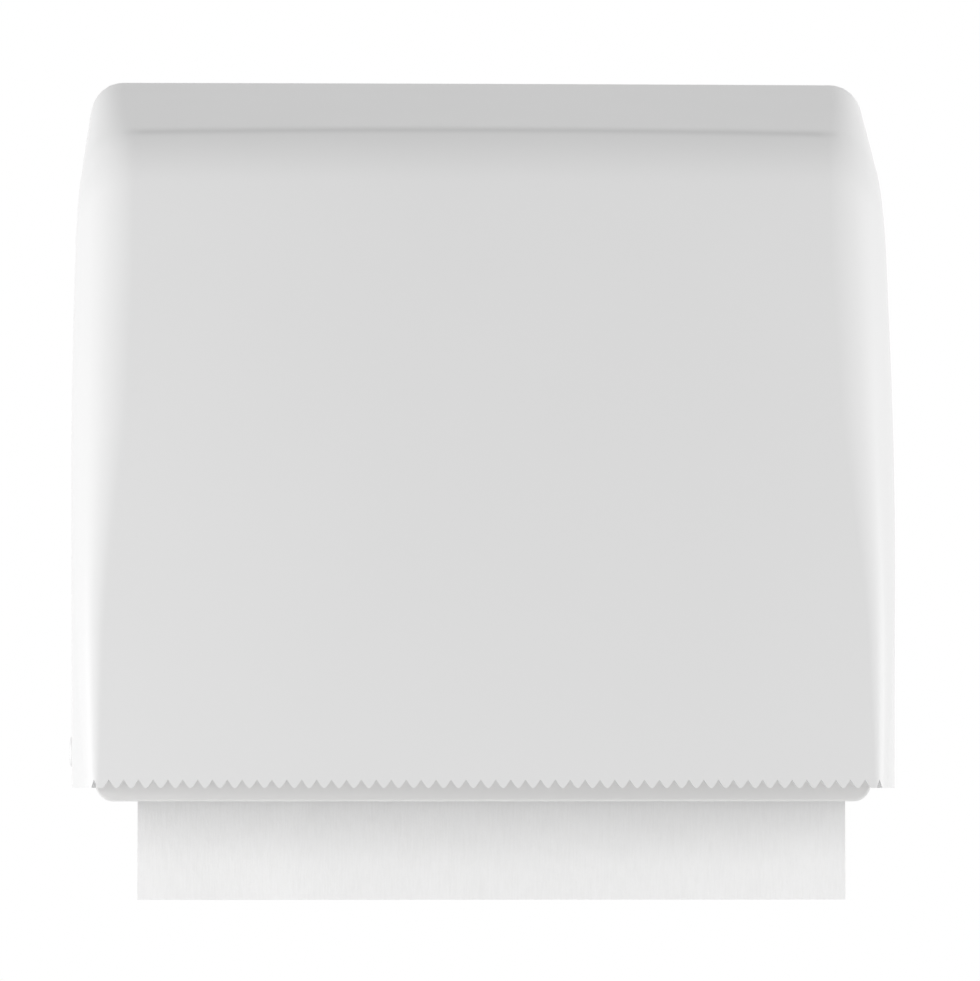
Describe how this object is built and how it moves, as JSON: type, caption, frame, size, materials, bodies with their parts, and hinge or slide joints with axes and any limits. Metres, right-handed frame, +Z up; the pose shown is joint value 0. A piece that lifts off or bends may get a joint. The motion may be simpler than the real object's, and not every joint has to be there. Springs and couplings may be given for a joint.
{
  "type": "lever paper towel dispenser",
  "caption": "Wall-mounted roll towel dispenser with a hinged leaning cover, moulded tearing teeth and a wide push lever that turns a drive roller through a gear sector.",
  "frame": {"origin": "middle of the four wall screw slots, on the wall", "axes": "+X to the right of a person facing the dispenser, +Y into the wall, +Z up"},
  "size_m": [0.2978, 0.2, 0.3073],
  "materials": {
    "cover": "moulded gloss white",
    "chassis": "light grey moulding",
    "lever": "moulded warm white",
    "gear": "natural acetal",
    "steel": "ground bar",
    "spring_steel": "spring temper",
    "screw": "bright zinc",
    "bush": "sintered bronze",
    "grip": "fine tread",
    "drum": "dark grey moulding",
    "hub": "blue moulding",
    "towel": "embossed crepe",
    "core": "spiral wound"
  },
  "bodies": {
    "housing": {"wall_plate": "chassis", "left_side_frame": "chassis", "right_side_frame": "chassis", "bottom_tray": "chassis", "frame_screws": "screw", "cover_pivots": "cover", "lever_bushes": "bush", "drive_bush": "bush", "backstop_clutch": "steel", "lever_stops": "grip", "lever_spring": "spring_steel", "spring_post": "steel", "pressure_springs": "spring_steel", "roll_arm_pins": "steel", "roll_arm_springs": "spring_steel", "paper_web": "towel", "latch_tongue": "spring_steel", "latch_rivets": "screw"},
    "cover": {"front_cover": "cover"},
    "lever": {"push_lever": "lever", "lever_shaft": "steel", "lever_circlips": "spring_steel", "lever_sector": "gear"},
    "pinion": {"drive_pinion": "gear"},
    "drive_roller": {"drive_shaft": "steel", "drive_drum": "drum", "grip_sleeves": "grip", "clutch_hub": "steel"},
    "pressure_carriage": {"pressure_blocks": "gear", "pressure_shaft": "steel"},
    "pressure_roller": {"pressure_tube": "drum", "pressure_tyres": "grip"},
    "left_arm": {"left_roll_arm": "chassis", "left_roll_hub": "hub"},
    "right_arm": {"right_roll_arm": "chassis", "right_roll_hub": "hub"},
    "towel_roll": {"paper_roll": "towel", "roll_core": "core"}
  },
  "joints": [
    {"name": "cover_hinge", "type": "hinge", "parent": "housing", "child": "cover", "pos_m": [0, -0.087, -0.122], "axis": [1, 0, 0], "range_deg": [0, 85], "deforming": ["latch_tongue"]},
    {"name": "lever_swing", "type": "hinge", "parent": "housing", "child": "lever", "pos_m": [0, -0.09653, -0.04926], "axis": [1, 0, 0], "range_deg": [0, 19], "stiffness_Nm_per_rad": 0.9, "springref_deg": -17.19, "deforming": ["lever_spring"]},
    {"name": "pinion_spin", "type": "hinge", "parent": "housing", "child": "pinion", "pos_m": [-0.1307, -0.10755, -0.097], "axis": [1, 0, 0], "range_deg": [-90, 5]},
    {"name": "drive_spin", "type": "hinge", "parent": "housing", "child": "drive_roller", "pos_m": [0, -0.10755, -0.097], "axis": [1, 0, 0], "continuous": true},
    {"name": "pressure_slide", "type": "slide", "parent": "housing", "child": "pressure_carriage", "axis": [0, 1, 0], "range_m": [0, 0.002], "stiffness_N_per_m": 1500, "springref_m": -0.003, "deforming": ["pressure_springs"]},
    {"name": "pressure_spin", "type": "hinge", "parent": "pressure_carriage", "child": "pressure_roller", "pos_m": [0, -0.08345, -0.097], "axis": [1, 0, 0], "continuous": true},
    {"name": "left_arm_swing", "type": "hinge", "parent": "housing", "child": "left_arm", "pos_m": [-0.1279, -0.012, 0.005], "axis": [0, 0, -1], "range_deg": [0, 9], "stiffness_Nm_per_rad": 0.8, "springref_deg": -11.46, "deforming": ["roll_arm_springs"]},
    {"name": "right_arm_swing", "type": "hinge", "parent": "housing", "child": "right_arm", "pos_m": [0.1353, -0.012, 0.005], "axis": [0, 0, 1], "range_deg": [0, 9], "stiffness_Nm_per_rad": 0.8, "springref_deg": -11.46, "deforming": ["roll_arm_springs"]},
    {"name": "roll_spin", "type": "hinge", "parent": "housing", "child": "towel_roll", "pos_m": [0, -0.066, 0.005], "axis": [1, 0, 0], "continuous": true}
  ],
  "couplings": [
    {"joint": "pinion_spin", "follows": "lever_swing", "ratio": -4.4444},
    {"joint": "pressure_spin", "follows": "drive_spin", "ratio": -1.875},
    {"joint": "roll_spin", "follows": "drive_spin", "ratio": -0.27498}
  ]
}
